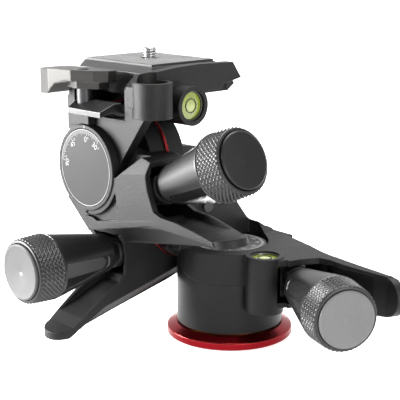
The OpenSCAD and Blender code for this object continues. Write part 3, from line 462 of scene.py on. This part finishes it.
def knob_profile():
    """(along, radius, kind) steps from the knob's root to inside the rim of its face."""
    steps = [(ROOT_X, ROOT_R - 1.2, PLAIN),
             (ROOT_X + 0.5, ROOT_R - 0.45, PLAIN),
             (ROOT_X + ROOT_CHAMFER, ROOT_R, PLAIN)]
    x = CONE_START
    while x < CONE_END:
        steps.append((x, cone_r(x), FLUTED))
        x += COARSE_STEP if COARSE_END > x > COARSE_START else FINE_STEP
    steps += [(BAND_START - 0.75, cone_r(RIM_X) - 0.1, PLAIN),
              (BAND_START - 0.35, RIM_R, PLAIN),
              (BAND_START - 0.2, RIM_R - 0.45, PLAIN)]
    for i in range(BAND_ROWS + 1):
        x = BAND_START + (BAND_END - BAND_START) * i / BAND_ROWS
        steps.append((x, RIM_R - BAND_TAPER * (x - BAND_START) / (BAND_END - BAND_START), KNURLED))
    steps += [(BAND_END + 0.1, FACE_R, FACE),
              (BAND_END + 0.45, FACE_R + 0.1, FACE),
              (GRIP_END - 0.15, FACE_R - 0.1, FACE),
              (GRIP_END, FACE_R - 0.35, FACE),
              (GRIP_END, FACE_R - 1.2, FACE),
              (GRIP_END - 0.2, FACE_R - 1.3, FACE),
              (GRIP_END - 2, FACE_R - 1.3, FACE)]
    return steps


def knob(unit, body):
    """A knob with scooped flats and a knurled band, in place of its plain grip."""
    steps = knob_profile()
    shape = {FLUTED: flute_r, KNURLED: knurl_r}
    rings = []
    for x, radius, kind in steps:
        ring = []
        for a in angles(AROUND):
            r = shape[kind](x, a, radius) if kind in shape else radius
            ring.append(at(unit, x, WORM_OFF + r * math.cos(a), r * math.sin(a)))
        rings.append(ring)
    indexes = [MATERIAL_OF[kind] for _, _, kind in steps]
    points, faces = rings_mesh(rings, lambda i: min(indexes[i], indexes[i + 1]))
    obj = piece(unit + "_knob_knurled", points, faces, [knob_metal, knurl_metal, edge_black], body,
                flat={1}, sharp=40)
    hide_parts(unit + "_knob_grip")


for unit in UNITS:
    knob(unit, unit + "_knob")


# ---------------------------------------------------------------- dials

BAR_FACES = ((0, 1, 2, 3), (4, 5, 6, 7), (0, 1, 5, 4), (1, 2, 6, 5), (2, 3, 7, 6), (3, 0, 4, 7))
RAISED = 0.05
TICK_STEP, TICK_INSET = 2.5, 0.7
LONG_TICK, MIDDLE_TICK, SHORT_TICK = 2.1, 1.5, 1.1
WIDE_TICK, NARROW_TICK = 0.11, 0.085
NUMBER_INSET, NUMBER_DROP = 3.0, 0.45
EDGE_COUNT = 120


def bar_points(face, xs, ys, zs):
    """Eight corners of a bar from its ends along a face's right, up and out, in millimetres."""
    centre, right, up, out = face
    corners = []
    for z in zs:
        for x, y in ((xs[0], ys[0]), (xs[1], ys[0]), (xs[1], ys[1]), (xs[0], ys[1])):
            corners.append((centre + right * x + up * y + out * z) * MM)
    return corners


def number(text, size):
    """Outline of a number as mesh triangles, centred, in millimetres."""
    curve = bpy.data.curves.new("number", "FONT")
    curve.body = text
    curve.size = size
    curve.align_x = "CENTER"
    curve.align_y = "CENTER"
    holder = bpy.data.objects.new("number", curve)
    mesh = bpy.data.meshes.new_from_object(holder)
    points = [(v.co.x, v.co.y) for v in mesh.vertices]
    faces = [tuple(p.vertices) for p in mesh.polygons]
    bpy.data.objects.remove(holder)
    bpy.data.meshes.remove(mesh)
    bpy.data.curves.remove(curve)
    return points, faces


def tick_size(value):
    """Length and half width of the tick at a value in degrees, in millimetres."""
    if value % 5:
        return SHORT_TICK, NARROW_TICK
    return MIDDLE_TICK if value % 15 else LONG_TICK, WIDE_TICK


def dial_marks(name, face, radius, zero, first, last, numbers, size, body, ring=True, paint=mark_white):
    """Ticks, numbers and a thin edge ring, raised a hair above a dial's face."""
    centre, right, up, out = (Vector(v) for v in face)
    points, faces = [], []
    value = first
    while value <= last + 0.01:
        angle = math.radians(zero + value)
        radial = right * math.cos(angle) + up * math.sin(angle)
        across = up * math.cos(angle) - right * math.sin(angle)
        length, width = tick_size(value)
        start = len(points)
        points += bar_points((centre, across, radial, out), (-width, width),
                             (radius - TICK_INSET - length, radius - TICK_INSET), (-RAISED, RAISED))
        faces += [(tuple(start + i for i in f), 0) for f in BAR_FACES]
        value += TICK_STEP
    for text, value in numbers:
        angle = math.radians(zero + value)
        radial = right * math.cos(angle) + up * math.sin(angle)
        across = right * math.sin(angle) - up * math.cos(angle)
        middle = centre + radial * (radius - NUMBER_INSET - size * NUMBER_DROP) + out * RAISED
        outline, triangles = number(text, size)
        start = len(points)
        points += [(middle + across * x + radial * y) * MM for x, y in outline]
        faces += [(tuple(start + i for i in f), 0) for f in triangles]
    if ring:
        edge = ((radius - 0.42, 0.0), (radius - 0.36, 0.06), (radius - 0.1, 0.06), (radius - 0.02, 0.0))
        start = len(points)
        for r, z in edge:
            for a in angles(EDGE_COUNT):
                points.append((centre + (right * math.cos(a) + up * math.sin(a)) * r + out * z) * MM)
        for j in range(len(edge) - 1):
            row = start + j * EDGE_COUNT
            for i in range(EDGE_COUNT):
                a, b = row + i, row + (i + 1) % EDGE_COUNT
                faces.append(((a, b, b + EDGE_COUNT, a + EDGE_COUNT), 0))
    piece(name, points, faces, [paint], body, flat={0})


# The centre of each dial's face in millimetres, then its right, its up and the way that it looks.
FRONT_FACE = ((-39.4, -55.0, 81.5), (1, 0, 0), (0, 0, 1), (0, -1, 0))
LATERAL_FACE = ((-41.1, -10.5, 62.3), (0, -1, 0), (0, 0, 1), (-1, 0, 0))
PAN_FACE = ((0, 0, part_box("pan_dial")[1].z / MM), (1, 0, 0), (0, 1, 0), (0, 0, 1))
TILT_NUMBERS = (("90°", 90), ("45°", 45), ("0°", 0), ("30°", -30))
PAN_NUMBERS = tuple((str(v), v if v <= 180 else v - 360) for v in range(0, 360, 30))

dial_marks("front_dial_marks", FRONT_FACE, radius=17.9, zero=83.6, first=-30, last=90,
           numbers=TILT_NUMBERS, size=3.7, body="tilt_body")
dial_marks("lateral_dial_marks", LATERAL_FACE, radius=16.0, zero=90, first=-30, last=90,
           numbers=TILT_NUMBERS, size=3.0, body="pan_body")
dial_marks("pan_dial_marks", PAN_FACE, radius=16.9, zero=-45, first=0, last=357.5,
           numbers=PAN_NUMBERS, size=2.4, body="base", ring=False, paint=bright_mark)


# ---------------------------------------------------------------- levels

LENS_COUNT, LENS_STEPS = 64, 9
LENS_SHARE, LENS_Z, LENS_RISE = 0.97, -0.55, 0.35
BUBBLE_COUNT, BUBBLE_STEPS = 48, 8
BUBBLE_R, BUBBLE_Z, BUBBLE_RISE = 2.5, -0.3, 0.3


def level(name, centre, axis, radius, thick, body):
    """A round level: shallow lens over the liquid, a sighting circle, a bubble and an edge."""
    profile = [(-thick, radius * 0.94), (-thick + 0.2, radius), (-0.9, radius), (LENS_Z, radius * LENS_SHARE)]
    for i in range(1, LENS_STEPS):
        r = radius * LENS_SHARE * (1 - i / LENS_STEPS)
        profile.append((LENS_Z + LENS_RISE * (1 - (r / radius) ** 2), max(r, 0.05)))
    lens = turned(name + "_lens", centre, axis, profile, vial_body, body, LENS_COUNT)
    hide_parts(name)
    circle = [(-0.35, 3.35), (0.02, 3.3), (0.02, 2.95), (-0.35, 2.9)]
    turned(name + "_circle", centre, axis, circle, vial_ring, body, LENS_COUNT)
    bubble = [(-0.4, BUBBLE_R)]
    for i in range(1, BUBBLE_STEPS):
        a = i / BUBBLE_STEPS * math.pi / 2
        bubble.append((BUBBLE_Z + BUBBLE_RISE * math.sin(a), BUBBLE_R * math.cos(a) + 0.02))
    turned(name + "_bubble", centre, axis, bubble, vial_bubble, body, BUBBLE_COUNT)
    edge = [(-0.9, radius), (0.1, radius), (0.25, radius - 0.25), (0.1, radius - 0.75), (-0.5, radius - 0.9)]
    turned(name + "_edge", centre, axis, edge, vial_ring, body, LENS_COUNT)


level("side_vial", (0.2, -25.3, 111.4), (1, 0, 0), radius=6.9, thick=4.4, body="platform_body")
level("top_vial", (-4.5, -44.0, 119.6), (0, 0, 1), radius=6.9, thick=4.4, body="platform_body")
level("pan_vial", (28.75, -6.5, 43.5), (0, 0, 1), radius=6.6, thick=4.6, body="pan_body")


# ---------------------------------------------------------------- camera screw and pad

PAD_X, PAD_Y, PAD_Z = -40.0, -14.65, 128.9
SCREW_TOP = PAD_Z + 5.2
SCREW_COUNT = 48
PITCH, CREST_R, THREAD_ROOT_R = 1.27, 3.175, 2.62
CREST_WIDEN = 1.5
THREAD_START, THREAD_STEP = 129.21, 0.13
TIP_R, TIP_LEAST_R, TIP_SLOPE = 2.6, 2.75, 1.1
STUD_PITCH, STUD_SPREAD = 1.28, 1.15
STUD_FIELD_X, STUD_FIELD_Y = 45.6, 37.0
STUD_FOOT_Z, STUD_FOOT_HALF = -0.1, 0.56
STUD_TOP_Z, STUD_TOP_HALF = 0.26, 0.38
STUDS_CLEAR_R = 4.6


def screw_point(radius, angle, z):
    """A point round the screw's axis, in metres."""
    return Vector((PAD_X + radius * math.cos(angle), PAD_Y + radius * math.sin(angle), z)) * MM


def thread_r(z, turns):
    """Radius of the thread at a height, after a share of a turn."""
    phase = (z / PITCH - turns) % 1.0
    radius = THREAD_ROOT_R + (CREST_R - THREAD_ROOT_R) * min(1.0, CREST_WIDEN * (1 - abs(2 * phase - 1)))
    return min(radius, TIP_LEAST_R + (SCREW_TOP - z) * TIP_SLOPE)


def threaded_screw():
    """The camera screw: flange, undercut neck and a thread with a chamfered tip."""
    around = angles(SCREW_COUNT)
    flange_and_neck = [(120.5, 8.9), (120.8, 9.4), (123.2, 9.4), (123.5, 8.9), (123.5, 2.475), (129.2, 2.475)]
    rings = [[screw_point(r, a, z) for a in around] for z, r in flange_and_neck]
    z = THREAD_START
    while z < SCREW_TOP - 0.01:
        rings.append([screw_point(thread_r(z, i / SCREW_COUNT), a, z) for i, a in enumerate(around)])
        z += THREAD_STEP
    rings.append([screw_point(TIP_R, a, SCREW_TOP) for a in around])
    points, faces = rings_mesh(rings)
    obj = piece("camera_screw_threaded", points, faces, [steel], "screw", sharp=30)
    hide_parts("camera_screw")


threaded_screw()


def pad_studs():
    """Rows of small raised lozenges over the rubber pad, left out round the screw, coloured pale as a painted
    highlight for the light that catches their tops.
    """
    points, faces = [], []
    nx, ny = int(STUD_FIELD_X / STUD_PITCH), int(STUD_FIELD_Y / STUD_PITCH)
    for i in range(nx + 1):
        for j in range(ny + 1):
            x = (i - nx / 2) * STUD_PITCH
            y = (j - ny / 2) * STUD_PITCH
            if math.hypot(x, y) < STUDS_CLEAR_R:
                continue
            start = len(points)
            for z, half in ((STUD_FOOT_Z, STUD_FOOT_HALF), (STUD_TOP_Z, STUD_TOP_HALF)):
                for cx, cy in ((-1, 0), (0, -1), (1, 0), (0, 1)):
                    points.append(Vector((PAD_X + x + cx * half * STUD_SPREAD,
                                          PAD_Y + y + cy * half * STUD_SPREAD,
                                          PAD_Z + z)) * MM)
            faces.append(((start + 4, start + 5, start + 6, start + 7), 0))
            faces.append(((start, start + 1, start + 2, start + 3), 0))
            for k in range(4):
                m = (k + 1) % 4
                faces.append(((start + k, start + m, start + 4 + m, start + 4 + k), 0))
    piece("pad_studs", points, faces, [stud_rubber_painted_highlight], "platform_body", flat={0})


pad_studs()

# ---------------------------------------------------------------- index mark

index_points = bar_points([Vector(v) for v in FRONT_FACE],
                          xs=(-0.22, 0.22), ys=(18.3, 19.6), zs=(-0.05, 0.06))
piece("front_index", index_points, [(f, 0) for f in BAR_FACES], [mark_white], "tilt_body", flat={0})

# ---------------------------------------------------------------- floor, light and camera

scene = bpy.context.scene
FLOOR_GREY, FLOOR_GLOW = 0.8, 0.86
FLOOR_RINGS, FLOOR_COUNT = (0.3, 1.0, 3.0, 8.0), 64
FLOOR_Z = -0.0003
WORLD_LIGHT = 0.22


def floor_material():
    """Pale and lit by the lights, with a glow that only seen rays meet."""
    made = bpy.data.materials.new("floor_pale")
    made.use_nodes = True
    nodes, link = made.node_tree.nodes, made.node_tree.links.new
    nodes.clear()
    out = nodes.new("ShaderNodeOutputMaterial")
    base = nodes.new("ShaderNodeBsdfDiffuse")
    base.inputs["Color"].default_value = (FLOOR_GREY, FLOOR_GREY, FLOOR_GREY, 1)
    glow = nodes.new("ShaderNodeEmission")
    strength = maths(nodes, "MULTIPLY", FLOOR_GLOW)
    add = nodes.new("ShaderNodeAddShader")
    link(seen_rays(nodes, link), strength.inputs[0])
    link(strength.outputs[0], glow.inputs["Strength"])
    link(base.outputs[0], add.inputs[0])
    link(glow.outputs[0], add.inputs[1])
    link(add.outputs[0], out.inputs["Surface"])
    return made


def floor():
    """A wide disc in rings, so that its edge is far outside the view."""
    rings = [[Vector((r * math.cos(a), r * math.sin(a), FLOOR_Z)) for a in angles(FLOOR_COUNT)]
             for r in FLOOR_RINGS]
    points, faces = rings_mesh(rings, close_end=False)
    mesh = bpy.data.meshes.new("floor")
    mesh.from_pydata([tuple(p) for p in points], [], [corners for corners, _ in faces])
    mesh.materials.append(floor_material())
    obj = bpy.data.objects.new("floor", mesh)
    scene.collection.objects.link(obj)


def background(nodes, strength):
    """A white background node of some strength."""
    node = nodes.new("ShaderNodeBackground")
    node.inputs["Color"].default_value = WHITE
    node.inputs["Strength"].default_value = strength
    return node.outputs[0]


def studio_world():
    """White to seen rays, much dimmer as a light."""
    world = bpy.data.worlds.new("studio")
    scene.world = world
    world.use_nodes = True
    nodes, link = world.node_tree.nodes, world.node_tree.links.new
    nodes.clear()
    out = nodes.new("ShaderNodeOutputWorld")
    mix = nodes.new("ShaderNodeMixShader")
    link(seen_rays(nodes, link), mix.inputs["Fac"])
    link(background(nodes, WORLD_LIGHT), mix.inputs[1])
    link(background(nodes, 1.0), mix.inputs[2])
    link(mix.outputs[0], out.inputs["Surface"])


def soft_light(name, place, aim, energy, size):
    """A square area light turned towards a point."""
    data = bpy.data.lights.new(name, "AREA")
    data.energy = energy
    data.size = size
    obj = bpy.data.objects.new(name, data)
    obj.location = place
    obj.rotation_euler = (Vector(aim) - Vector(place)).to_track_quat("-Z", "Y").to_euler()
    scene.collection.objects.link(obj)


floor()
studio_world()
soft_light("key", (-0.85, -0.82, 0.16), aim=(0, -0.02, 0.07), energy=80, size=0.7)
soft_light("top", (-0.1, 0.25, 1.0), aim=(0, 0, 0.06), energy=17, size=0.7)
soft_light("side", (1.05, -0.2, 0.3), aim=(0, 0, 0.06), energy=8, size=0.4)

AZIMUTH = math.radians(44.753058)
DISTANCE, HEIGHT = 0.501840941, 0.1829755
YAW, PITCH_DOWN = math.radians(46.37622), math.radians(13.33132)
FOCAL_PIXELS, PHOTO_PIXELS = 1093.787, 400
SENSOR_WIDTH = 36.0

camera_data = bpy.data.cameras.new("camera")
camera_data.sensor_fit = "HORIZONTAL"
camera_data.sensor_width = SENSOR_WIDTH
camera_data.lens = FOCAL_PIXELS / PHOTO_PIXELS * SENSOR_WIDTH
camera_data.clip_start = 0.01
camera = bpy.data.objects.new("camera", camera_data)
camera.location = (math.sin(AZIMUTH) * DISTANCE, -math.cos(AZIMUTH) * DISTANCE, HEIGHT)
look = Vector((-math.sin(YAW) * math.cos(PITCH_DOWN),
               math.cos(YAW) * math.cos(PITCH_DOWN),
               -math.sin(PITCH_DOWN)))
camera.rotation_euler = look.to_track_quat("-Z", "Y").to_euler()
scene.collection.objects.link(camera)
scene.camera = camera

scene.view_settings.view_transform = "Standard"
